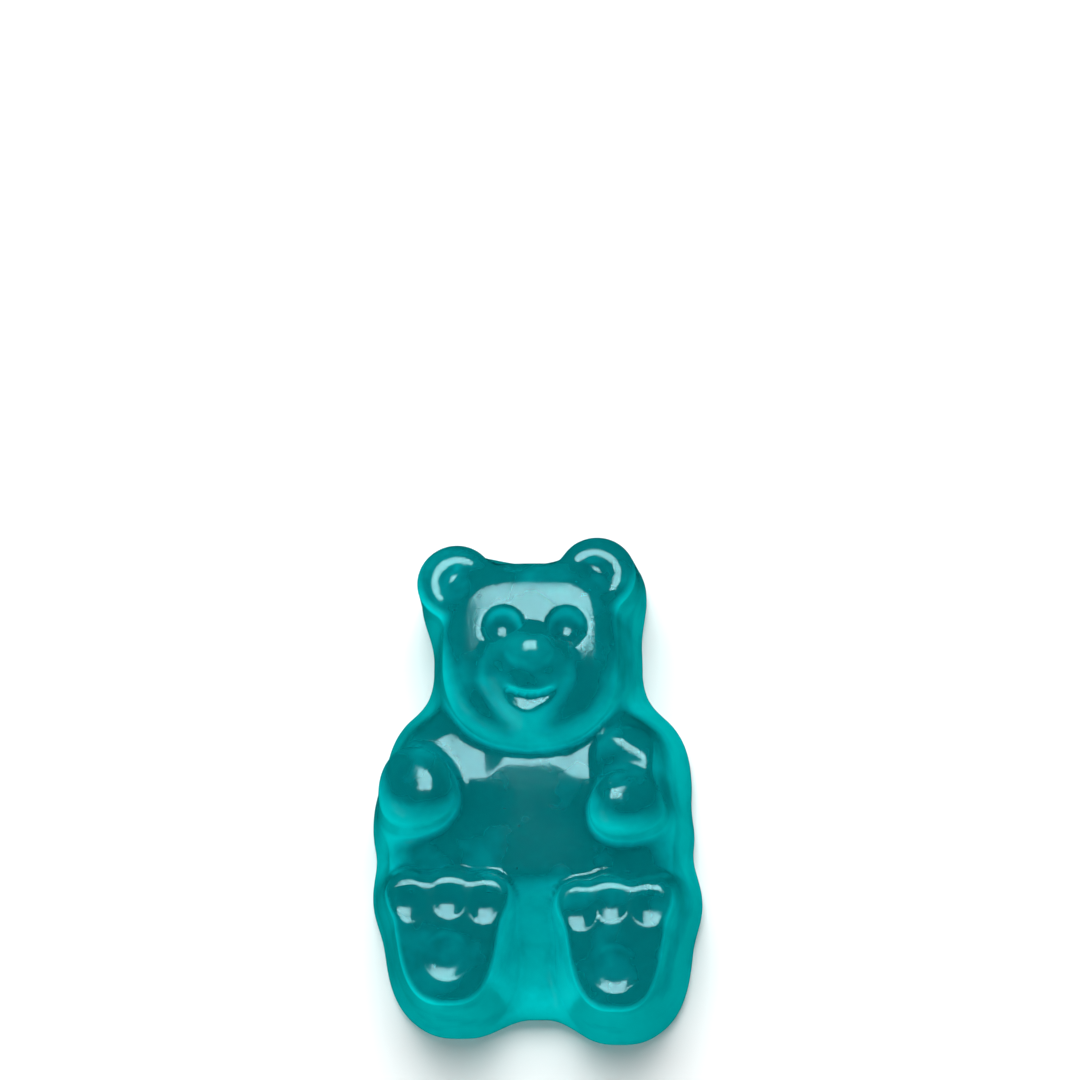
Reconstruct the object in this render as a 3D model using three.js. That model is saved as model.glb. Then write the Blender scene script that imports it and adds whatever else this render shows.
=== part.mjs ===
// A gummy bear, 22 mm long, lying on its flat back. Millimetres, +Z up, head toward +Y,
// origin under the middle of the bear on the surface it lies on.
//
// The sweet is cast in a powder mould, so every limb is a drafted column that rises from the
// flat back and ends in a rounded cap. The columns are joined by fillets, and the eyes, mouth,
// ears and paw pads are dents. All of this is one function, shape(x, y, z), which is negative
// inside the jelly and zero on its skin. The skin itself is a ball whose vertices are drawn
// in onto the zero surface and then spread evenly over it.
import * as THREE from 'three';
import { mergeVertices } from 'three/addons/utils/BufferGeometryUtils.js';

// ---- Driving dimensions (mm, degrees) ----

const MIDDLE = { x: -0.1, y: 0.2 };        // middle of the outline, seen from the trunk's axis
const BACK_EDGE = 1.1;                     // rounding where the walls meet the flat back
const FILLET = 0.5;                        // fillet between two limbs, high on the relief
const BASE_FILLET = 0.8;                   // what is added to it at the back
const BASE_FILLET_HEIGHT = 6;              // where that addition has died away

const TRUNK = { x: -0.1, y: -2.2, halfWidth: 6.88, halfLength: 7.6, square: 2.5, draft: 9 };
const TRUNK_TOP = { height: 7.3, sideDrop: 0.012, rise: 0.03, edge: 1.1 };
const BELLY = { start: 0.4, end: -1.6, sideDrop: 0.026 };      // falls away more to the sides
const LAP = { start: -3.4, end: -8.4, drop: 5.2 };             // falls away between the legs
const CHEST = { slope: 0.17, soft: 0.1 };                      // falls away toward the chin
const CHEST_START = { middle: 1.15, sides: 0.6 };              // where that begins
const CHEST_MIDDLE = { inner: 0.9, outer: 2.1 };               // how far out the middle and the sides are

const SHOULDER = { y: 1.1, square: 2.2, draft: 12, inner: 2.6, rise: 0.2, edge: 0.35, fillet: 0.55 };
const SHOULDERS = [
	{ side: -1, x: 4.4, halfWidth: 2.3, halfLength: 2.8, height: 6.4, ridge: 4.9 },
	{ side: 1, x: 4, halfWidth: 2.8, halfLength: 3, height: 7.35, ridge: 3.55 },
];
const RIDGE = { turn: 34, bend: 0.85, soft: 0.15 };    // the slanting line a shoulder falls away past

const ARM = { square: 2.1, draft: 7, lean: 0.09, taper: 0.1, height: 8.9, edge: 0.85, fillet: 0.45 };
const HAND = { steep: 26, round: 1.28 };               // how an arm falls away round its highest point
const ARMS = [
	{ x: -4.78, y: 0.2, halfWidth: 2.6, halfLength: 2.7, turn: 15, crest: [0.28, -0.59] },
	{ x: 4, y: -0.5, halfWidth: 2.5, halfLength: 2.35, turn: 10, crest: [-0.55, -0.08] },
];

const SOLE = { height: 8.35, fillet: 0.1, edge: 0.3, square: 3, draft: 10 };
const SOLE_DROP = { side: 0.02, end: 0.012 };          // how much lower it is per mm² off its middle
const TOE_END = { start: 2.46, side: -0.04, bend: 0.55, soft: 0.05 };      // where the sole bends down
const FOOT_LEAN = 0.03;                    // how far a foot's middle moves heelward per mm down
const FOOT_TAPER = 0.085;                  // how much the sole narrows per mm toward the heel
const FOOT_TAPER_LOSS = 0.006;             // how much of that taper each mm of depth takes away
const FEET = [
	{ x: -3.42, y: -6.42, halfWidth: 2.05, halfLength: 2.5, padY: -0.5,
		toes: [[-1.7, 1.68], [0.1, 1.8], [1.68, 1.6]] },
	{ x: 3.55, y: -6.68, halfWidth: 1.93, halfLength: 2.5, padY: -0.8,
		toes: [[-1.55, 1.55], [-0.15, 1.85], [1.5, 1.74]] },
];
const TOE = { radius: 0.85, ahead: 0.4, fillet: 0.6 }; // bulges of the outline ahead of the dents
const TOE_DENT = { halfWidth: 1.8, halfLength: 1.8, height: 1.5, depth: 0.11, fillet: 0.03 };
const PAD = { radius: 1.14, depth: 0.15, wall: 16.5, edge: 0.04 };

const HEAD = { y: 5.2, halfWidth: 4.8, crown: 5.45, chin: 4.55, draft: 8, edge: 0.8 };
const HEAD_SQUARE = { crown: 2.9, chin: 2.15 };
const HEAD_TOP = { x: -0.2, y: 5.38, height: 8.75, acrossRadius: 19, alongRadius: 11 };

const EAR = { radius: 2.05, height: 7.7, draft: 3, tilt: 12, edge: 0.4, fillet: 0.25 };
const EAR_RIM = { radius: 1, bend: 0.9, hollow: 0.25, inward: 0.1 };
const EARS = [{ side: -1, x: -3.2, y: 8.8 }, { side: 1, x: 2.8, y: 9.1 }];

const MUZZLE = { x: -0.08, y: 4.6, z: 7.9, halfWidth: 2.25, up: 2.25, down: 2.85, rise: 1.75 };
const MUZZLE_SHAPE = { up: 2, down: 1.4, tilt: 0.22, fillet: 0.3 };        // its lower end is pointed
const NOSE = { x: 0.07, y: 5.65, z: 9.35, halfWidth: 0.95, halfLength: 0.8, rise: 0.46 };
const NOSE_FILLET = 0.25;
const EYES = { xs: [-1.12, 1.6], y: 6.76, z: 8.62, halfWidth: 0.74, halfLength: 0.78, depth: 0.48 };
const LID_FILLET = 0.25;
const MOUTH = { x: 0.1, y: 3.5, halfWidth: 1, halfLength: 0.4, bend: 0.5 };
const MOUTH_FLOOR = { z: 8.98, ledge: 0.21, cup: 0.12 };
const LIP = { edge: 0.15, fillet: 0.15 };

const JELLY_COLOUR = '#078f92';

const TINY = 1e-9;                         // keeps a middle point's distance from dividing by zero

// ---- How the skin is made ----

const BALL_DETAIL = 22;                            // the ball has 20 · 23² triangles
const SHARE = { front: 0.5, walls: 0.38 };         // of the ball's area, the rest is the back
const FROM = { halfWidth: 10, halfLength: 14, top: 12, bottom: -1.5, y: 0 };      // the ball, stretched
const TOWARD = { halfWidth: 4.4, halfLength: 8.4, top: 2, bottom: 1, y: -0.3 };   // and what it shrinks to
const MARCH = { steps: 64, halvings: 20 };
const PROBE = { step: 1e-3, leastSteepness: 0.1 };
const SPREAD = { rounds: 70, stride: 0.3, share: 0.6 };
const TURN = { rounds: 4, tolerance: 0.01, gain: 0.7, facing: 0.3 };

// ---- Field functions: negative inside, zero on the surface, about a distance in mm ----

const slope = degrees => Math.tan(THREE.MathUtils.degToRad(degrees));

/** Distance to the superellipse |x/a|^n + |y/b|^n = 1. */
function superellipse(x, y, a, b, n) {
	const u = Math.abs(x / a);
	const v = Math.abs(y / b);
	const size = Math.pow(Math.pow(u, n) + Math.pow(v, n) + TINY, 1 / n);
	const shrink = Math.pow(size, 1 - n);
	const gx = shrink * Math.pow(u, n - 1) / a;
	const gy = shrink * Math.pow(v, n - 1) / b;
	return (size - 1) / Math.sqrt(gx * gx + gy * gy + TINY);
}

/** Distance to an ellipsoid with radii a, b, c. */
function ellipsoid(x, y, z, a, b, c) {
	const size = Math.hypot(x / a, y / b, z / c) + TINY;
	const steepness = Math.hypot(x / (a * a), y / (b * b), z / (c * c)) + TINY;
	return size * (size - 1) / steepness;
}

/** Distance to an ellipsoid whose plan is the superellipse |x/a|^n + |y/b|^n = 1. */
function dome(x, y, z, a, b, c, n) {
	const u = Math.abs(x / a);
	const v = Math.abs(y / b);
	const reach = Math.pow(Math.pow(u, n) + Math.pow(v, n) + TINY, 1 / n);
	const grown = Math.hypot(Math.pow(u, n - 1) / a, Math.pow(v, n - 1) / b);
	const planSteepness = Math.pow(reach, 1 - n) * grown;
	const size = Math.hypot(reach, z / c);
	return (size - 1) * size / Math.hypot(reach * planSteepness, z / (c * c));
}

/** What lies inside both the wall and the cap, with the edge between them rounded. */
function capped(wall, cap, edge) {
	const w = wall + edge;
	const c = cap + edge;
	return Math.min(Math.max(w, c), 0) + Math.hypot(Math.max(w, 0), Math.max(c, 0)) - edge;
}

/** Two bodies joined by a fillet. */
function join(a, b, fillet) {
	const near = Math.max(fillet - Math.abs(a - b), 0) / fillet;
	return Math.min(a, b) - near * near * fillet / 4;
}

/** Body a with body b cut out of it, the rim rounded. */
const cut = (a, b, fillet) => -join(-a, b, fillet);

/** Zero below 0, t above it, with a soft bend of the given width. */
const ramp = (t, soft) => (t + Math.sqrt(t * t + soft * soft)) / 2;

// ---- The bear's parts, each joined to or cut from the body so far ----

const baseFillet = z => BASE_FILLET * (1 - THREE.MathUtils.smoothstep(z, 0, BASE_FILLET_HEIGHT));

/** How far the chest has fallen away toward the chin, sooner on either side of the middle. */
function chestDrop(x, y) {
	const aside = THREE.MathUtils.smoothstep(Math.abs(x), CHEST_MIDDLE.inner, CHEST_MIDDLE.outer);
	const start = THREE.MathUtils.lerp(CHEST_START.middle, CHEST_START.sides, aside);
	return CHEST.slope * ramp(y - start, CHEST.soft);
}

function trunk(x, y, z) {
	const { halfWidth, halfLength } = TRUNK;
	const outline = superellipse(x - TRUNK.x, y - TRUNK.y, halfWidth, halfLength, TRUNK.square);
	const lapDrop = LAP.drop * THREE.MathUtils.smoothstep(-y, -LAP.start, -LAP.end);
	const belly = THREE.MathUtils.smoothstep(-y, -BELLY.start, -BELLY.end);
	const sideDrop = TRUNK_TOP.sideDrop + BELLY.sideDrop * belly;
	const top = TRUNK_TOP.height - sideDrop * x * x - TRUNK_TOP.rise * y - chestDrop(x, y) - lapDrop;
	return capped(outline + z * slope(TRUNK.draft), z - top, TRUNK_TOP.edge);
}

/** A low mound that rises outward to a slanting ridge. */
function shoulder(place, x, y, z) {
	const out = place.side * x;
	const { halfWidth, halfLength } = place;
	const outline = superellipse(out - place.x, y - SHOULDER.y, halfWidth, halfLength, SHOULDER.square);
	const turn = THREE.MathUtils.degToRad(RIDGE.turn);
	const past = ramp(out * Math.sin(turn) + y * Math.cos(turn) - place.ridge, RIDGE.soft);
	const top = place.height + SHOULDER.rise * (out - SHOULDER.inner) - past * past / (2 * RIDGE.bend);
	return capped(outline + z * slope(SHOULDER.draft), z - top, SHOULDER.edge);
}

function arm(place, x, y, z) {
	const turn = THREE.MathUtils.degToRad(place.turn);
	const dx = x - place.x;
	const dy = y - place.y + ARM.lean * (ARM.height - z);
	const across = dx * Math.cos(turn) + dy * Math.sin(turn);
	const along = dy * Math.cos(turn) - dx * Math.sin(turn);
	const { halfWidth, halfLength } = place;
	const outline = superellipse(across / (1 - ARM.taper * along), along, halfWidth, halfLength, ARM.square);
	const [crestX, crestY] = place.crest;
	const fromCrest = Math.hypot(across - crestX, along - crestY, HAND.round);
	const top = ARM.height - slope(HAND.steep) * (fromCrest - HAND.round);
	return capped(outline + z * slope(ARM.draft), z - top, ARM.edge);
}

function soleTop(across, along) {
	const past = ramp(along - TOE_END.start - TOE_END.side * across * across, TOE_END.soft);
	const fall = SOLE_DROP.side * across * across + SOLE_DROP.end * along * along;
	return SOLE.height - fall - TOE_END.bend * past * past;
}

function foot(place, x, y, z) {
	const down = SOLE.height - z;
	const along = y - place.y + FOOT_LEAN * down;
	const across = (x - place.x) / (1 + (FOOT_TAPER - FOOT_TAPER_LOSS * down) * along);
	let outline = superellipse(across, along, place.halfWidth, place.halfLength, SOLE.square);
	for (const [toeX, toeY] of place.toes) {
		const toe = Math.hypot(x - place.x - toeX, y - place.y - toeY - TOE.ahead) - TOE.radius;
		outline = join(outline, toe, TOE.fillet);
	}
	return capped(outline - down * slope(SOLE.draft), z - soleTop(across, along), SOLE.edge);
}

/** Cuts the three toe dents and the flat-floored pad. */
function cutPaw(body, place, x, y, z) {
	const dx = x - place.x;
	const dy = y - place.y;
	let rest = body;
	for (const [toeX, toeY] of place.toes) {
		const above = z - soleTop(toeX, toeY) + TOE_DENT.depth - TOE_DENT.height;
		const dent = ellipsoid(dx - toeX, dy - toeY, above,
			TOE_DENT.halfWidth, TOE_DENT.halfLength, TOE_DENT.height);
		rest = cut(rest, dent, TOE_DENT.fillet);
	}
	const rise = THREE.MathUtils.degToRad(PAD.wall);
	const fromPad = Math.hypot(dx, dy - place.padY) - PAD.radius;
	const wall = fromPad * Math.sin(rise) - (z - SOLE.height) * Math.cos(rise);
	return cut(rest, capped(wall, SOLE.height - PAD.depth - z, PAD.edge), PAD.edge);
}

/** A disc whose top is a round rim about a shallow hollow. */
function ear(place, x, y, z) {
	const dx = x - place.x;
	const dy = y - place.y;
	const wall = Math.hypot(dx, dy) - EAR.radius + z * slope(EAR.draft);
	const fromRim = Math.hypot(dx + place.side * EAR_RIM.inward, dy) - EAR_RIM.radius;
	const outward = fromRim * fromRim / (2 * EAR_RIM.bend);
	const fall = fromRim < 0 ? EAR_RIM.hollow * Math.tanh(outward / EAR_RIM.hollow) : outward;
	return capped(wall, z - EAR.height + dy * slope(EAR.tilt) + fall, EAR.edge);
}

function head(x, y, z) {
	const up = y > HEAD.y;
	const outline = superellipse(x, y - HEAD.y, HEAD.halfWidth,
		up ? HEAD.crown : HEAD.chin, up ? HEAD_SQUARE.crown : HEAD_SQUARE.chin);
	const top = HEAD_TOP.height - (x - HEAD_TOP.x) ** 2 / (2 * HEAD_TOP.acrossRadius)
		- (y - HEAD_TOP.y) ** 2 / (2 * HEAD_TOP.alongRadius);
	return capped(outline + z * slope(HEAD.draft), z - top, HEAD.edge);
}

function addFace(body, x, y, z) {
	const up = y - MUZZLE.y;
	const height = z - MUZZLE.z - MUZZLE_SHAPE.tilt * up;
	const muzzle = dome(x - MUZZLE.x, up, height, MUZZLE.halfWidth, up > 0 ? MUZZLE.up : MUZZLE.down,
		MUZZLE.rise, up > 0 ? MUZZLE_SHAPE.up : MUZZLE_SHAPE.down);
	const nose = ellipsoid(x - NOSE.x, y - NOSE.y, z - NOSE.z,
		NOSE.halfWidth, NOSE.halfLength, NOSE.rise);
	let face = join(join(body, muzzle, MUZZLE_SHAPE.fillet), nose, NOSE_FILLET);
	for (const eyeX of EYES.xs) {
		const eye = ellipsoid(x - eyeX, y - EYES.y, z - EYES.z,
			EYES.halfWidth, EYES.halfLength, EYES.depth);
		face = cut(face, eye, LID_FILLET);
	}
	const across = x - MOUTH.x;
	const above = y - MOUTH.y;
	const smile = above - MOUTH.bend * across * across;
	const opening = superellipse(across, smile, MOUTH.halfWidth, MOUTH.halfLength, 2);
	const floor = MOUTH_FLOOR.z - MOUTH_FLOOR.ledge * above + MOUTH_FLOOR.cup * across * across;
	return cut(face, capped(opening, floor - z, LIP.edge), LIP.fillet);
}

/** The bear without its flat back: every column runs on below z = 0. */
function columns(worldX, worldY, z) {
	const x = worldX + MIDDLE.x;
	const y = worldY + MIDDLE.y;
	const low = baseFillet(z);
	let body = trunk(x, y, z);
	ARMS.forEach((place, side) => {
		const limb = join(arm(place, x, y, z), shoulder(SHOULDERS[side], x, y, z), SHOULDER.fillet);
		body = join(body, limb, ARM.fillet + low);
	});
	for (const place of FEET) body = join(body, foot(place, x, y, z), SOLE.fillet + low);
	for (const place of EARS) body = join(body, ear(place, x, y, z), EAR.fillet + low / 2);
	body = join(body, head(x, y, z), FILLET + low);
	body = addFace(body, x, y, z);
	for (const place of FEET) body = cutPaw(body, place, x, y, z);
	return body;
}

const shape = (x, y, z) => capped(columns(x, y, z), -z, BACK_EDGE);

// ---- The skin ----

/** The point where the line from outside to inside first meets the surface. */
function firstHit(outside, inside) {
	const point = new THREE.Vector3();
	const at = t => shape(...point.lerpVectors(outside, inside, t));
	let near = 0;
	let far = 0;
	while (far < 1 && at(far) > 0) {
		near = far;
		far += 1 / MARCH.steps;
	}
	for (let i = 0; i < MARCH.halvings; i++) {
		const half = (near + far) / 2;
		if (at(half) > 0) near = half;
		else far = half;
	}
	return new THREE.Vector3().lerpVectors(outside, inside, far);
}

/** How far a point is from the surface, as the move along the gradient that puts it there. */
function offset(point) {
	const { x, y, z } = point;
	const { step } = PROBE;
	const value = shape(x, y, z);
	const gradient = new THREE.Vector3(
		shape(x + step, y, z) - value,
		shape(x, y + step, z) - value,
		shape(x, y, z + step) - value,
	).divideScalar(step);
	const steepness = Math.max(gradient.lengthSq(), PROBE.leastSteepness);
	return { gradient, steepness, move: -value / steepness };
}

/** Slides every point along the surface toward the weighted mean of its neighbours. */
function spread(points, neighbours) {
	const means = neighbours.map(beside => {
		const mean = new THREE.Vector3();
		beside.forEach(j => mean.add(points[j]));
		return mean.divideScalar(beside.length);
	});
	points.forEach((point, i) => {
		const { gradient, steepness, move } = offset(point);
		const slide = means[i].sub(point);
		slide.addScaledVector(gradient, -slide.dot(gradient) / steepness);
		slide.clampLength(0, SPREAD.stride).multiplyScalar(SPREAD.share);
		point.add(slide).addScaledVector(gradient, move);
	});
}

/** Turns an edge between two triangles across them where it then lies closer to the surface. */
function turnEdges(triangles, points) {
	const miss = (i, j) => {
		const { x, y, z } = points[i].clone().add(points[j]).divideScalar(2);
		return Math.abs(shape(x, y, z));
	};
	const normal = (i, j, k) => {
		const side = points[j].clone().sub(points[i]);
		return side.cross(points[k].clone().sub(points[i])).normalize();
	};
	const key = (i, j) => i * points.length + j;
	const owner = new Map();
	triangles.forEach((corners, t) => corners.forEach((a, e) => owner.set(key(a, corners[(e + 1) % 3]), t)));
	const turned = new Set();
	for (const [edge, t] of owner) {
		const a = Math.floor(edge / points.length);
		const b = edge % points.length;
		const other = owner.get(key(b, a));
		if (a > b || turned.has(t) || turned.has(other)) continue;
		const c = triangles[t].find(i => i !== a && i !== b);
		const d = triangles[other].find(i => i !== a && i !== b);
		if (owner.has(key(c, d)) || owner.has(key(d, c))) continue;
		if (miss(a, b) < TURN.tolerance || miss(c, d) > TURN.gain * miss(a, b)) continue;
		const facing = normal(a, b, c).add(normal(b, a, d));
		if (Math.min(normal(c, a, d).dot(facing), normal(d, b, c).dot(facing)) < TURN.facing) continue;
		triangles[t] = [c, a, d];
		triangles[other] = [d, b, c];
		owner.set(key(c, d), t).set(key(d, c), other);
		turned.add(t).add(other);
	}
}

/** Where a direction from the middle of the ball first meets the bear, seen through a tall drum. */
function startingPoint(direction) {
	const fromPole = (1 - direction.z) / 2;
	const fromFoot = Math.max(1 - fromPole, 0);
	const height = THREE.MathUtils.clamp(1 - (fromPole - SHARE.front) / SHARE.walls, 0, 1);
	const onFront = Math.sqrt(fromPole / SHARE.front);
	const onBack = Math.sqrt(fromFoot / (1 - SHARE.front - SHARE.walls));
	const reach = Math.min(1, onFront, onBack);
	const azimuth = Math.atan2(direction.y, direction.x);
	const onDrum = drum => new THREE.Vector3(
		drum.halfWidth * reach * Math.cos(azimuth),
		drum.halfLength * reach * Math.sin(azimuth) + drum.y,
		THREE.MathUtils.lerp(drum.bottom, drum.top, height),
	);
	return firstHit(onDrum(FROM), onDrum(TOWARD));
}

function bearGeometry() {
	const ball = new THREE.IcosahedronGeometry(1, BALL_DETAIL);
	ball.deleteAttribute('normal');
	ball.deleteAttribute('uv');
	const geometry = mergeVertices(ball);
	const position = geometry.attributes.position;
	const points = [];
	for (let i = 0; i < position.count; i++) {
		points.push(startingPoint(new THREE.Vector3().fromBufferAttribute(position, i)));
	}
	const corners = [...geometry.index.array];
	const triangles = Array.from({ length: corners.length / 3 }, (_, t) => corners.slice(3 * t, 3 * t + 3));
	const neighbours = points.map(() => []);
	triangles.forEach(triangle => triangle.forEach((a, e) => neighbours[a].push(triangle[(e + 1) % 3])));
	for (let round = 0; round < SPREAD.rounds; round++) spread(points, neighbours);
	for (let round = 0; round < TURN.rounds; round++) turnEdges(triangles, points);
	points.forEach((point, i) => {
		const { gradient, move } = offset(point);
		point.addScaledVector(gradient, move);
		position.setXYZ(i, ...point);
	});
	geometry.setIndex(triangles.flat());
	geometry.computeVertexNormals();
	return geometry;
}

const bear = new THREE.Mesh(bearGeometry(), new THREE.MeshStandardMaterial({
	color: JELLY_COLOUR,
	roughness: 0.2,
	metalness: 0,
}));
bear.name = 'gummy_bear';

const part = new THREE.Group();
part.add(bear);
export default part;
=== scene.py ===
"""A gummy bear of clear teal jelly that lies on its flat back on a pale floor.

The frame gives the bear's solid. The jelly is that solid with a finer skin: a voxel copy of it,
whose points are drawn onto the smooth surface that the mould leaves. The mould is described in
millimetres from the middle of the trunk, and everything that Blender gets is in metres.
"""
import math

import bpy
import numpy as np
from mathutils import Matrix, Vector


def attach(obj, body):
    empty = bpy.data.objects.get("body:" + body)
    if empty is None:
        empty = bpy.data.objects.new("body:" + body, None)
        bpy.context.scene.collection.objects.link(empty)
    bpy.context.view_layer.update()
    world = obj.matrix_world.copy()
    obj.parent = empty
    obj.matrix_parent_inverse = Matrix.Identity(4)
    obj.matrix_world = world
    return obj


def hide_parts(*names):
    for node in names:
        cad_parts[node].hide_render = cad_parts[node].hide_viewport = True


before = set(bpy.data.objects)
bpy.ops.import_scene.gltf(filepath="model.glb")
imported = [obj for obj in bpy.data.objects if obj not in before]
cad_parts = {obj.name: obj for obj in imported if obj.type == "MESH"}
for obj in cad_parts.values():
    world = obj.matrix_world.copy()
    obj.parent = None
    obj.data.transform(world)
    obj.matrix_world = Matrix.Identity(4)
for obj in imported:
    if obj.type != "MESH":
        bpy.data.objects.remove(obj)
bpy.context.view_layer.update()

MM = 0.001                      # metres in a millimetre
NODE = "gummy_bear"

# ---- The mould (mm, degrees) ----

MIDDLE = (-0.1, 0.2)            # middle of the outline, seen from the trunk's axis
BACK_EDGE = 1.1                 # rounding where the walls meet the flat back
FILLET = 0.5                    # between two limbs, high on the relief
BASE_FILLET = 0.8               # what is added to it at the back
BASE_FILLET_HEIGHT = 6          # where that addition has died away

TRUNK = dict(x=-0.1, y=-2.2, half_width=6.88, half_length=7.6, square=2.5, draft=9)
TRUNK_TOP = dict(height=7.3, side_drop=0.012, rise=0.03, edge=1.1)
BELLY = dict(start=0.4, end=-1.6, side_drop=0.026)         # falls away more to the sides than the chest
LAP = dict(start=-3.4, end=-8.4, drop=5.2)                 # falls away between the legs
CHEST = dict(slope=0.17, soft=0.1)                         # falls away toward the chin
CHEST_START = dict(middle=1.15, sides=0.6)                 # where that begins
CHEST_MIDDLE = dict(inner=0.9, outer=2.1)                  # how far out the middle and the sides are

SHOULDER = dict(y=1.1, square=2.2, draft=12, inner=2.6, rise=0.2, edge=0.35, fillet=0.55)
SHOULDERS = (
    dict(side=-1, x=4.4, half_width=2.3, half_length=2.8, height=6.4, ridge=4.9),
    dict(side=1, x=4, half_width=2.8, half_length=3, height=7.35, ridge=3.55),
)
RIDGE = dict(turn=34, bend=0.85, soft=0.15)        # the slanting line a shoulder falls away past

ARM = dict(square=2.1, draft=7, lean=0.09, taper=0.1, height=8.9, edge=0.85, fillet=0.45)
HAND = dict(steep=26, round=1.28)                  # how an arm falls away round its highest point
ARMS = (
    dict(x=-4.78, y=0.2, half_width=2.6, half_length=2.7, turn=15, crest=(0.28, -0.59)),
    dict(x=4, y=-0.5, half_width=2.5, half_length=2.35, turn=10, crest=(-0.55, -0.08)),
)

SOLE = dict(height=8.35, fillet=0.1, edge=0.3, square=3, draft=10)
SOLE_DROP = dict(side=0.02, end=0.012)             # how much lower it is per square mm off its middle
TOE_END = dict(start=2.46, side=-0.04, bend=0.55, soft=0.05)       # where the sole bends down
FOOT_LEAN = 0.03                # how far a foot's middle moves heelward per mm down
FOOT_TAPER = 0.085              # how much the sole narrows per mm toward the heel
FOOT_TAPER_LOSS = 0.006         # how much of that taper each mm of depth takes away
FEET = (
    dict(x=-3.42, y=-6.42, half_width=2.05, half_length=2.5, pad_y=-0.5,
         toes=((-1.7, 1.68), (0.1, 1.8), (1.68, 1.6))),
    dict(x=3.55, y=-6.68, half_width=1.93, half_length=2.5, pad_y=-0.8,
         toes=((-1.55, 1.55), (-0.15, 1.85), (1.5, 1.74))),
)
TOE = dict(radius=0.85, ahead=0.4, fillet=0.6)     # bulges of the outline ahead of the dents
TOE_DENT = dict(half_width=1.8, half_length=1.8, height=1.5, depth=0.11, fillet=0.03)
PAD = dict(radius=1.14, depth=0.15, wall=16.5, edge=0.04)

HEAD = dict(y=5.2, half_width=4.8, crown=5.45, chin=4.55, draft=8, edge=0.8)
HEAD_SQUARE = dict(crown=2.9, chin=2.15)
HEAD_TOP = dict(x=-0.2, y=5.38, height=8.75, across_radius=19, along_radius=11)

EAR = dict(radius=2.05, height=7.7, draft=3, tilt=12, edge=0.4, fillet=0.25)
EAR_RIM = dict(radius=1, bend=0.9, hollow=0.25, inward=0.1)
EARS = (dict(side=-1, x=-3.2, y=8.8), dict(side=1, x=2.8, y=9.1))

MUZZLE = dict(x=-0.08, y=4.6, z=7.9, half_width=2.25, up=2.25, down=2.85, rise=1.75)
MUZZLE_SHAPE = dict(up=2, down=1.4, tilt=0.22, fillet=0.3)         # its lower end is pointed
NOSE = dict(x=0.07, y=5.65, z=9.35, half_width=0.95, half_length=0.8, rise=0.46)
NOSE_FILLET = 0.25
EYES = dict(xs=(-1.12, 1.6), y=6.76, z=8.62, half_width=0.74, half_length=0.78, depth=0.48)
LID_FILLET = 0.25
MOUTH = dict(x=0.1, y=3.5, half_width=1, half_length=0.4, bend=0.5)
MOUTH_FLOOR = dict(z=8.98, ledge=0.21, cup=0.12)
LIP = dict(edge=0.15, fillet=0.15)
CREASES = (((-1, 5.25), (-0.35, 4.72)), ((-0.35, 4.72), (0.05, 4.1)), ((-0.25, 4.9), (0.5, 4.2)))
CREASE = dict(depth=0.05, width=0.3)

# ---- The skin ----

VOXEL = 0.115                   # mm
INSET = 0.025                   # mm, how far the skin lies inside the solid's
NEWTON_ROUNDS = 7
PROBE = 1e-4                    # mm, the step that a gradient is measured over
LEAST_STEEPNESS = 0.1           # keeps a move short where the field is nearly level
TINY = 1e-9                     # keeps a middle point's distance from dividing by zero


def slope(degrees):
    return math.tan(math.radians(degrees))


def smoothstep(t, start, end):
    t = np.clip((t - start) / (end - start), 0, 1)
    return t * t * (3 - 2 * t)


def superellipse(x, y, a, b, n):
    """Distance to the superellipse |x/a|^n + |y/b|^n = 1."""
    u = np.abs(x / a)
    v = np.abs(y / b)
    size = (u**n + v**n + TINY) ** (1 / n)
    shrink = size ** (1 - n)
    gx = shrink * u ** (n - 1) / a
    gy = shrink * v ** (n - 1) / b
    return (size - 1) / np.sqrt(gx * gx + gy * gy + TINY)


def ellipsoid(x, y, z, a, b, c):
    """Distance to an ellipsoid with radii a, b, c."""
    size = np.sqrt((x / a) ** 2 + (y / b) ** 2 + (z / c) ** 2) + TINY
    steepness = np.sqrt((x / a**2) ** 2 + (y / b**2) ** 2 + (z / c**2) ** 2) + TINY
    return size * (size - 1) / steepness


def dome(x, y, z, a, b, c, n):
    """Distance to an ellipsoid whose plan is the superellipse |x/a|^n + |y/b|^n = 1."""
    u = np.abs(x / a)
    v = np.abs(y / b)
    reach = (u**n + v**n + TINY) ** (1 / n)
    plan_steepness = reach ** (1 - n) * np.hypot(u ** (n - 1) / a, v ** (n - 1) / b)
    size = np.hypot(reach, z / c)
    return (size - 1) * size / np.hypot(reach * plan_steepness, z / c**2)


def capped(wall, cap, edge):
    """What lies inside both the wall and the cap, with the edge between them rounded."""
    w = wall + edge
    c = cap + edge
    inside = np.minimum(np.maximum(w, c), 0)
    return inside + np.hypot(np.maximum(w, 0), np.maximum(c, 0)) - edge


def join(a, b, fillet):
    """Two bodies joined by a fillet."""
    near = np.maximum(fillet - np.abs(a - b), 0) / fillet
    return np.minimum(a, b) - near * near * fillet / 4


def cut(a, b, fillet):
    """Body a with body b cut out of it, the rim rounded."""
    return -join(-a, b, fillet)


def ramp(t, soft):
    """Zero below 0, t above it, with a soft bend of the given width."""
    return (t + np.sqrt(t * t + soft * soft)) / 2


def chest_drop(x, y):
    """How far the chest has fallen away toward the chin, sooner on either side of the middle."""
    aside = smoothstep(np.abs(x), CHEST_MIDDLE["inner"], CHEST_MIDDLE["outer"])
    start = CHEST_START["middle"] + (CHEST_START["sides"] - CHEST_START["middle"]) * aside
    return CHEST["slope"] * ramp(y - start, CHEST["soft"])


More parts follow.
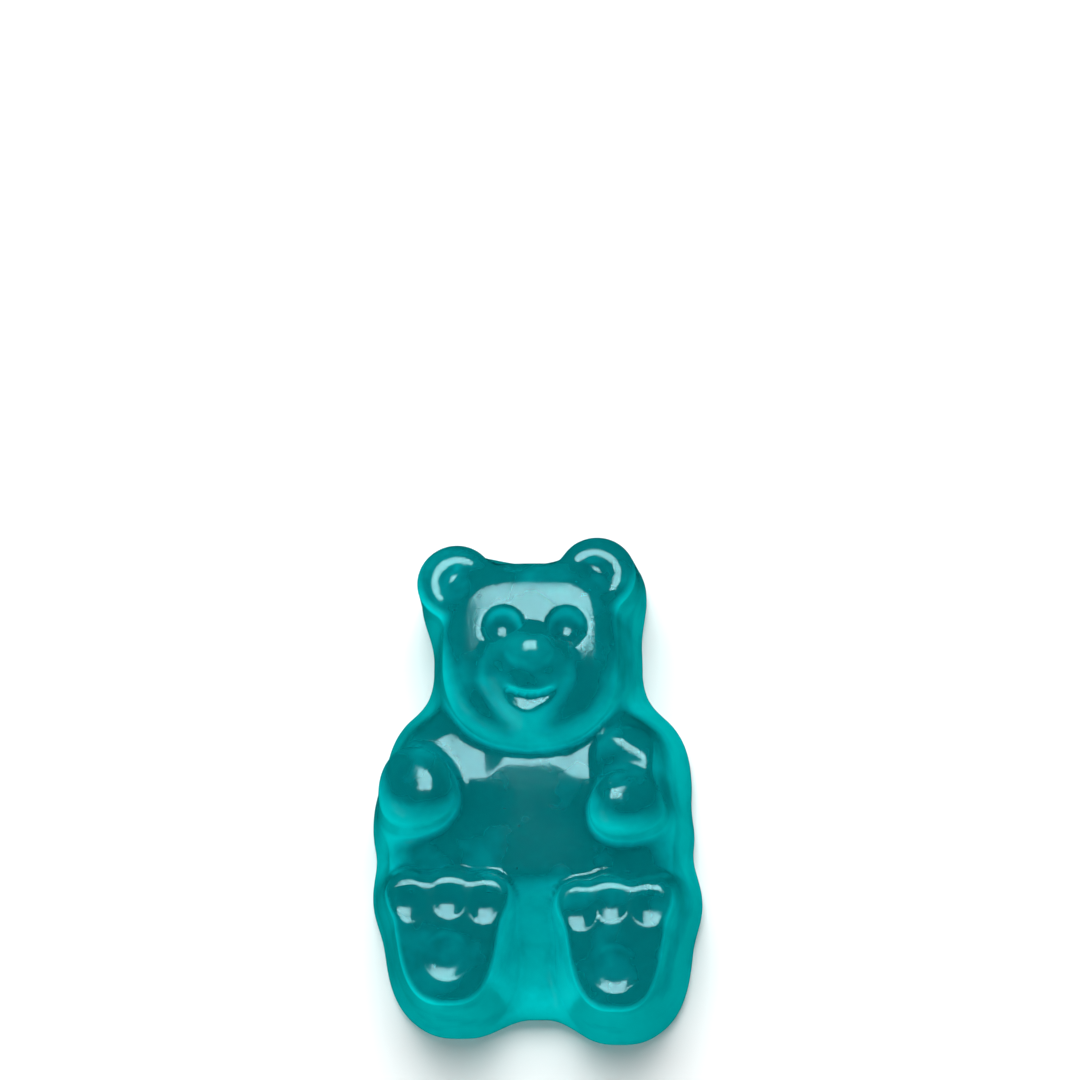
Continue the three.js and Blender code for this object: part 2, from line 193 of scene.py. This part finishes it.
def trunk(x, y, z):
    t = TRUNK
    outline = superellipse(x - t["x"], y - t["y"], t["half_width"], t["half_length"], t["square"])
    lap_drop = LAP["drop"] * smoothstep(-y, -LAP["start"], -LAP["end"])
    belly = smoothstep(-y, -BELLY["start"], -BELLY["end"])
    side_drop = TRUNK_TOP["side_drop"] + BELLY["side_drop"] * belly
    top = TRUNK_TOP["height"] - side_drop * x * x - TRUNK_TOP["rise"] * y - chest_drop(x, y) - lap_drop
    return capped(outline + z * slope(t["draft"]), z - top, TRUNK_TOP["edge"])


def shoulder(place, x, y, z):
    """A low mound that rises outward to a slanting ridge."""
    s = SHOULDER
    out = place["side"] * x
    outline = superellipse(out - place["x"], y - s["y"], place["half_width"], place["half_length"],
                           s["square"])
    turn = math.radians(RIDGE["turn"])
    past = ramp(out * math.sin(turn) + y * math.cos(turn) - place["ridge"], RIDGE["soft"])
    top = place["height"] + s["rise"] * (out - s["inner"]) - past**2 / (2 * RIDGE["bend"])
    return capped(outline + z * slope(s["draft"]), z - top, s["edge"])


def arm(place, x, y, z):
    turn = math.radians(place["turn"])
    dx = x - place["x"]
    dy = y - place["y"] + ARM["lean"] * (ARM["height"] - z)
    across = dx * math.cos(turn) + dy * math.sin(turn)
    along = dy * math.cos(turn) - dx * math.sin(turn)
    outline = superellipse(across / (1 - ARM["taper"] * along), along,
                           place["half_width"], place["half_length"], ARM["square"])
    crest_x, crest_y = place["crest"]
    from_crest = np.sqrt((across - crest_x) ** 2 + (along - crest_y) ** 2 + HAND["round"] ** 2)
    top = ARM["height"] - slope(HAND["steep"]) * (from_crest - HAND["round"])
    return capped(outline + z * slope(ARM["draft"]), z - top, ARM["edge"])


def sole_top(across, along):
    past = ramp(along - TOE_END["start"] - TOE_END["side"] * across**2, TOE_END["soft"])
    fall = SOLE_DROP["side"] * across**2 + SOLE_DROP["end"] * along**2
    return SOLE["height"] - fall - TOE_END["bend"] * past**2


def foot(place, x, y, z):
    down = SOLE["height"] - z
    along = y - place["y"] + FOOT_LEAN * down
    across = (x - place["x"]) / (1 + (FOOT_TAPER - FOOT_TAPER_LOSS * down) * along)
    outline = superellipse(across, along, place["half_width"], place["half_length"], SOLE["square"])
    for toe_x, toe_y in place["toes"]:
        ahead = y - place["y"] - toe_y - TOE["ahead"]
        toe = np.hypot(x - place["x"] - toe_x, ahead) - TOE["radius"]
        outline = join(outline, toe, TOE["fillet"])
    return capped(outline - down * slope(SOLE["draft"]), z - sole_top(across, along), SOLE["edge"])


def cut_paw(body, place, x, y, z):
    """The three toe dents and the flat-floored pad."""
    dx = x - place["x"]
    dy = y - place["y"]
    d = TOE_DENT
    for toe_x, toe_y in place["toes"]:
        above = z - sole_top(toe_x, toe_y) + d["depth"] - d["height"]
        dent = ellipsoid(dx - toe_x, dy - toe_y, above, d["half_width"], d["half_length"], d["height"])
        body = cut(body, dent, d["fillet"])
    rise = math.radians(PAD["wall"])
    from_pad = np.hypot(dx, dy - place["pad_y"]) - PAD["radius"]
    wall = from_pad * math.sin(rise) - (z - SOLE["height"]) * math.cos(rise)
    return cut(body, capped(wall, SOLE["height"] - PAD["depth"] - z, PAD["edge"]), PAD["edge"])


def ear(place, x, y, z):
    """A disc whose top is a round rim about a shallow hollow."""
    dx = x - place["x"]
    dy = y - place["y"]
    wall = np.hypot(dx, dy) - EAR["radius"] + z * slope(EAR["draft"])
    from_rim = np.hypot(dx + place["side"] * EAR_RIM["inward"], dy) - EAR_RIM["radius"]
    fall = from_rim**2 / (2 * EAR_RIM["bend"])
    fall = np.where(from_rim < 0, EAR_RIM["hollow"] * np.tanh(fall / EAR_RIM["hollow"]), fall)
    return capped(wall, z - EAR["height"] + dy * slope(EAR["tilt"]) + fall, EAR["edge"])


def head(x, y, z):
    up = y > HEAD["y"]
    crown = superellipse(x, y - HEAD["y"], HEAD["half_width"], HEAD["crown"], HEAD_SQUARE["crown"])
    chin = superellipse(x, y - HEAD["y"], HEAD["half_width"], HEAD["chin"], HEAD_SQUARE["chin"])
    top = HEAD_TOP["height"] - (x - HEAD_TOP["x"]) ** 2 / (2 * HEAD_TOP["across_radius"])
    top = top - (y - HEAD_TOP["y"]) ** 2 / (2 * HEAD_TOP["along_radius"])
    return capped(np.where(up, crown, chin) + z * slope(HEAD["draft"]), z - top, HEAD["edge"])


def crease_depth(x, y):
    """How deep the folds beside the nose are at each point."""
    nearest = np.full_like(x, np.inf)
    for (x1, y1), (x2, y2) in CREASES:
        run = np.array((x2 - x1, y2 - y1))
        share = np.clip(((x - x1) * run[0] + (y - y1) * run[1]) / (run @ run), 0, 1)
        nearest = np.minimum(nearest, np.hypot(x - x1 - share * run[0], y - y1 - share * run[1]))
    return CREASE["depth"] * np.exp(-((nearest / CREASE["width"]) ** 2))


def add_face(body, x, y, z):
    m = MUZZLE
    across = x - m["x"]
    up = y - m["y"]
    height = z - m["z"] - MUZZLE_SHAPE["tilt"] * up + crease_depth(x, y)
    above = dome(across, up, height, m["half_width"], m["up"], m["rise"], MUZZLE_SHAPE["up"])
    below = dome(across, up, height, m["half_width"], m["down"], m["rise"], MUZZLE_SHAPE["down"])
    muzzle = np.where(up > 0, above, below)
    nose = ellipsoid(x - NOSE["x"], y - NOSE["y"], z - NOSE["z"],
                     NOSE["half_width"], NOSE["half_length"], NOSE["rise"])
    face = join(join(body, muzzle, MUZZLE_SHAPE["fillet"]), nose, NOSE_FILLET)
    for eye_x in EYES["xs"]:
        eye = ellipsoid(x - eye_x, y - EYES["y"], z - EYES["z"],
                        EYES["half_width"], EYES["half_length"], EYES["depth"])
        face = cut(face, eye, LID_FILLET)
    across = x - MOUTH["x"]
    up = y - MOUTH["y"]
    opening = superellipse(across, up - MOUTH["bend"] * across**2,
                           MOUTH["half_width"], MOUTH["half_length"], 2)
    floor = MOUTH_FLOOR["z"] - MOUTH_FLOOR["ledge"] * up + MOUTH_FLOOR["cup"] * across**2
    return cut(face, capped(opening, floor - z, LIP["edge"]), LIP["fillet"])


def bear(points):
    """The bear as a field over points in mm: negative inside the jelly, zero on its skin."""
    x = points[:, 0] + MIDDLE[0]
    y = points[:, 1] + MIDDLE[1]
    z = points[:, 2]
    low = BASE_FILLET * (1 - smoothstep(z, 0, BASE_FILLET_HEIGHT))
    body = trunk(x, y, z)
    for arm_place, shoulder_place in zip(ARMS, SHOULDERS):
        limb = join(arm(arm_place, x, y, z), shoulder(shoulder_place, x, y, z), SHOULDER["fillet"])
        body = join(body, limb, ARM["fillet"] + low)
    for place in FEET:
        body = join(body, foot(place, x, y, z), SOLE["fillet"] + low)
    for place in EARS:
        body = join(body, ear(place, x, y, z), EAR["fillet"] + low / 2)
    body = join(body, head(x, y, z), FILLET + low)
    body = add_face(body, x, y, z)
    for place in FEET:
        body = cut_paw(body, place, x, y, z)
    return capped(body, -z, BACK_EDGE)


def offset(points):
    """Gradient at each point and the move along it that reaches the skin."""
    value = bear(points)
    gradient = np.stack([bear(points + axis) - value for axis in np.eye(3) * PROBE], axis=1) / PROBE
    steepness = np.maximum((gradient**2).sum(axis=1), LEAST_STEEPNESS)
    return gradient, -(value + INSET) / steepness


def make_skin():
    """The jelly's mesh: the CAD solid in fine voxels, drawn onto the smooth surface."""
    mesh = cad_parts[NODE].data.copy()
    mesh.transform(Matrix.Scale(1 / MM, 4))
    rough = bpy.data.objects.new("voxels", mesh)
    bpy.context.scene.collection.objects.link(rough)
    remesh = rough.modifiers.new("voxels", "REMESH")
    remesh.mode = "VOXEL"
    remesh.voxel_size = VOXEL
    graph = bpy.context.evaluated_depsgraph_get()
    skin = bpy.data.meshes.new_from_object(rough.evaluated_get(graph))
    bpy.data.objects.remove(rough)
    points = np.empty(len(skin.vertices) * 3)
    skin.vertices.foreach_get("co", points)
    points = points.reshape(-1, 3)
    for _ in range(NEWTON_ROUNDS):
        gradient, move = offset(points)
        points += gradient * move[:, None]
    skin.vertices.foreach_set("co", (points * MM).ravel())
    skin.update()
    skin.shade_smooth()
    return skin


# ---- The jelly ----

# The caps' dark colour is painted shade that stands for thick jelly. The pale colour of the walls and of
# low skin is painted light that the floor and room send in through the walls. Clearness follows the same
# split.
SHADED_CAP_COLOUR = (0.0, 0.62, 0.68, 1)
LIT_WALL_COLOUR = (0.0, 0.88, 0.9, 1)
SHADED_CAP_CLEARNESS = 0.88            # the share of light that passes through the skin
LIT_WALL_CLEARNESS = 0.4
PAINTED_SHADE_NORMAL = (0.1, 0.7, 1)       # a skin that faces this way gets the caps' painted shade, and one that doesn't gets the walls' painted light
PAINTED_SHADE_FACING = (-0.08, 0.87)      # from a wall's facing to a cap's
PAINTED_SHADE_HEIGHT = (3 * MM, 5.8 * MM)         # what faces up gets the walls' painted light below these, the caps' painted shade above
CLOUDING = 0.2                  # how much the colour wanders from place to place
DEPTH_COLOUR = (0.0, 0.8, 0.8, 1)
DEPTH_DENSITY = 325             # per metre
JELLY_IOR = 1.45
JELLY_ROUGHNESS = (0.04, 0.14)
SCATTER_REACH = (0.8 * MM, 3 * MM, 3 * MM)         # of red, green and blue light
GLINT = (0.5, 0.92, 1, 1)
CLOUD_SCALE = 450               # per metre
PORE_SCALE = 9000               # per metre
PORE_DEPTH = 0.005 * MM
NOISE_DETAIL = 3
NOISE_RANGE = (0.3, 0.7)        # where nearly all of a noise's values lie


def new_material(name):
    material = bpy.data.materials.new(name)
    material.use_nodes = True
    nodes = material.node_tree.nodes
    nodes.clear()
    return material, nodes, material.node_tree.links


def add_noise(nodes, links, scale):
    """Noise fixed to the jelly, a number around a half."""
    place = nodes.new("ShaderNodeTexCoord")
    noise = nodes.new("ShaderNodeTexNoise")
    noise.inputs["Scale"].default_value = scale
    noise.inputs["Detail"].default_value = NOISE_DETAIL
    links.new(place.outputs["Object"], noise.inputs["Vector"])
    return noise.outputs["Fac"]


def add_range(nodes, links, value, before, after):
    """Maps value from the range before to the range after."""
    node = nodes.new("ShaderNodeMapRange")
    node.inputs["From Min"].default_value, node.inputs["From Max"].default_value = before
    node.inputs["To Min"].default_value, node.inputs["To Max"].default_value = after
    links.new(value, node.inputs["Value"])
    return node.outputs["Result"]


def add_mix(nodes, links, share, first, second):
    """Mixes two colours by a share."""
    node = nodes.new("ShaderNodeMix")
    node.data_type = "RGBA"
    node.inputs["A"].default_value = first
    node.inputs["B"].default_value = second
    links.new(share, node.inputs["Factor"])
    return node.outputs["Result"]


def add_painted_shade_share(nodes, links):
    """How much painted shade each point has: one on high skin that faces up, zero on the walls, which get
    painted light.
    """
    skin = nodes.new("ShaderNodeNewGeometry")
    facing = nodes.new("ShaderNodeVectorMath")
    facing.operation = "DOT_PRODUCT"
    facing.inputs[1].default_value = PAINTED_SHADE_NORMAL
    links.new(skin.outputs["Normal"], facing.inputs[0])
    # painted shade: skin that faces up and lies high gets the caps' dark colour, and the noise makes the
    # share wander at random
    facing_shade = add_range(nodes, links, facing.outputs["Value"], PAINTED_SHADE_FACING, (0, 1))
    place = nodes.new("ShaderNodeTexCoord")
    parts = nodes.new("ShaderNodeSeparateXYZ")
    links.new(place.outputs["Object"], parts.inputs["Vector"])
    high = add_range(nodes, links, parts.outputs["Z"], PAINTED_SHADE_HEIGHT, (0, 1))
    clouds = add_noise(nodes, links, CLOUD_SCALE)
    wander = add_range(nodes, links, clouds, NOISE_RANGE, (-CLOUDING, CLOUDING))
    share = nodes.new("ShaderNodeMath")
    share.operation = "MULTIPLY_ADD"
    share.use_clamp = True
    links.new(facing_shade, share.inputs[0])
    links.new(high, share.inputs[1])
    links.new(wander, share.inputs[2])
    return share.outputs["Value"]


def make_jelly():
    """Jelly with painted shade on the caps, which are dark and clear, and painted light on the walls and
    low skin, which are paler and cloudier.
    """
    material, nodes, links = new_material("teal_jelly")
    output = nodes.new("ShaderNodeOutputMaterial")
    shader = nodes.new("ShaderNodeBsdfPrincipled")
    shader.inputs["IOR"].default_value = JELLY_IOR
    shader.inputs["Subsurface Weight"].default_value = 1
    shader.inputs["Subsurface Radius"].default_value = SCATTER_REACH
    shader.inputs["Subsurface Scale"].default_value = 1
    shader.inputs["Specular Tint"].default_value = GLINT
    links.new(shader.outputs["BSDF"], output.inputs["Surface"])

    # colour and clearness follow the painted shade share: dark and clear where it is one, pale and cloudy
    # where it is zero
    share = add_painted_shade_share(nodes, links)
    colour = add_mix(nodes, links, share, LIT_WALL_COLOUR, SHADED_CAP_COLOUR)
    links.new(colour, shader.inputs["Base Color"])
    clearness = add_range(nodes, links, share, (0, 1), (LIT_WALL_CLEARNESS, SHADED_CAP_CLEARNESS))
    links.new(clearness, shader.inputs["Transmission Weight"])

    pores = add_noise(nodes, links, PORE_SCALE)
    roughness = add_range(nodes, links, pores, NOISE_RANGE, JELLY_ROUGHNESS)
    links.new(roughness, shader.inputs["Roughness"])
    bump = nodes.new("ShaderNodeBump")
    bump.inputs["Distance"].default_value = PORE_DEPTH
    links.new(pores, bump.inputs["Height"])
    links.new(bump.outputs["Normal"], shader.inputs["Normal"])

    absorb = nodes.new("ShaderNodeVolumeAbsorption")
    absorb.inputs["Color"].default_value = DEPTH_COLOUR
    absorb.inputs["Density"].default_value = DEPTH_DENSITY
    links.new(absorb.outputs["Volume"], output.inputs["Volume"])
    return material


bear_object = bpy.data.objects.new("gummy_bear_jelly", make_skin())
bpy.context.scene.collection.objects.link(bear_object)
bear_object.data.materials.clear()
bear_object.data.materials.append(make_jelly())
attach(bear_object, "root")
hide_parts(NODE)


# ---- The studio ----

FLOOR_SIZE = 0.6
FLOOR_GAP = 0.02 * MM           # between the bear's back and the floor
FLOOR_COLOUR = (0.86, 0.87, 0.87, 1)
FLOOR_ROUGHNESS = 0.7
CAMERA_AT = Vector((7.1, -9.2, 134.5)) * MM
CAMERA_AIM = Vector((0.358, 10.83, 4.5)) * MM
CAMERA_LENS = 101               # mm
CAMERA_SENSOR = 36              # mm
CAMERA_RANGE = (0.001, 10)      # nearest and farthest that it sees
LIGHT_DISTANCE = 0.3
KEY_TILT = 26                   # degrees from straight above, toward the head
KEY_SIZE = (0.16, 0.16)
KEY_STRENGTH = 14.5
FILL_TILT = -75                 # from the feet's side, low down
FILL_TURN = -50                 # and somewhat from the left
FILL_SIZE = (0.25, 0.12)
FILL_STRENGTH = 3.6
WORLD_COLOUR = (1, 1, 1, 1)
WORLD_SIDE = 0.78               # strength near the horizon
WORLD_TOP = 0.05                # and overhead
WORLD_FADE = (0.15, 0.75)       # the heights on the sky's unit sphere between the two


def make_floor():
    half = FLOOR_SIZE / 2
    mesh = bpy.data.meshes.new("floor")
    corners = [(-half, -half, 0), (half, -half, 0), (half, half, 0), (-half, half, 0)]
    mesh.from_pydata(corners, [], [(0, 1, 2, 3)])
    floor = bpy.data.objects.new("floor", mesh)
    floor.location.z = -FLOOR_GAP
    bpy.context.scene.collection.objects.link(floor)
    material, nodes, links = new_material("pale_floor")
    output = nodes.new("ShaderNodeOutputMaterial")
    shader = nodes.new("ShaderNodeBsdfPrincipled")
    shader.inputs["Base Color"].default_value = FLOOR_COLOUR
    shader.inputs["Roughness"].default_value = FLOOR_ROUGHNESS
    links.new(shader.outputs["BSDF"], output.inputs["Surface"])
    mesh.materials.append(material)
    floor.visible_glossy = False


def make_camera():
    camera = bpy.data.objects.new("camera", bpy.data.cameras.new("camera"))
    camera.data.lens = CAMERA_LENS
    camera.data.sensor_width = CAMERA_SENSOR
    camera.data.clip_start, camera.data.clip_end = CAMERA_RANGE
    back = (CAMERA_AT - CAMERA_AIM).normalized()
    right = Vector((0, 1, 0)).cross(back).normalized()
    up = back.cross(right)
    camera.matrix_world = Matrix.Translation(CAMERA_AT) @ Matrix((right, up, back)).transposed().to_4x4()
    bpy.context.scene.collection.objects.link(camera)
    bpy.context.scene.camera = camera


def make_softbox(name, size, tilt, turn, strength, glints):
    """A rectangular area light that faces the bear, tilted from overhead toward the head, then turned."""
    light = bpy.data.lights.new(name, "AREA")
    light.shape = "RECTANGLE"
    light.size, light.size_y = size
    light.energy = strength * size[0] * size[1] * math.pi
    lamp = bpy.data.objects.new(name, light)
    aim = Matrix.Rotation(math.radians(turn), 4, "Z") @ Matrix.Rotation(-math.radians(tilt), 4, "X")
    lamp.matrix_world = aim @ Matrix.Translation((0, 0, LIGHT_DISTANCE))
    lamp.visible_glossy = glints
    bpy.context.scene.collection.objects.link(lamp)


def make_world():
    """A pale room that is brightest at the height of the bear."""
    world = bpy.data.worlds.new("studio")
    bpy.context.scene.world = world
    world.use_nodes = True
    nodes = world.node_tree.nodes
    links = world.node_tree.links
    place = nodes.new("ShaderNodeTexCoord")
    parts = nodes.new("ShaderNodeSeparateXYZ")
    links.new(place.outputs["Generated"], parts.inputs["Vector"])
    strength = add_range(nodes, links, parts.outputs["Z"], WORLD_FADE, (WORLD_SIDE, WORLD_TOP))
    background = nodes["Background"]
    background.inputs["Color"].default_value = WORLD_COLOUR
    links.new(strength, background.inputs["Strength"])
    world.cycles_visibility.glossy = False


make_floor()
make_camera()
make_softbox("key", KEY_SIZE, KEY_TILT, 0, KEY_STRENGTH, glints=True)
make_softbox("fill", FILL_SIZE, FILL_TILT, FILL_TURN, FILL_STRENGTH, glints=False)
make_world()
bpy.context.scene.view_settings.view_transform = "Standard"
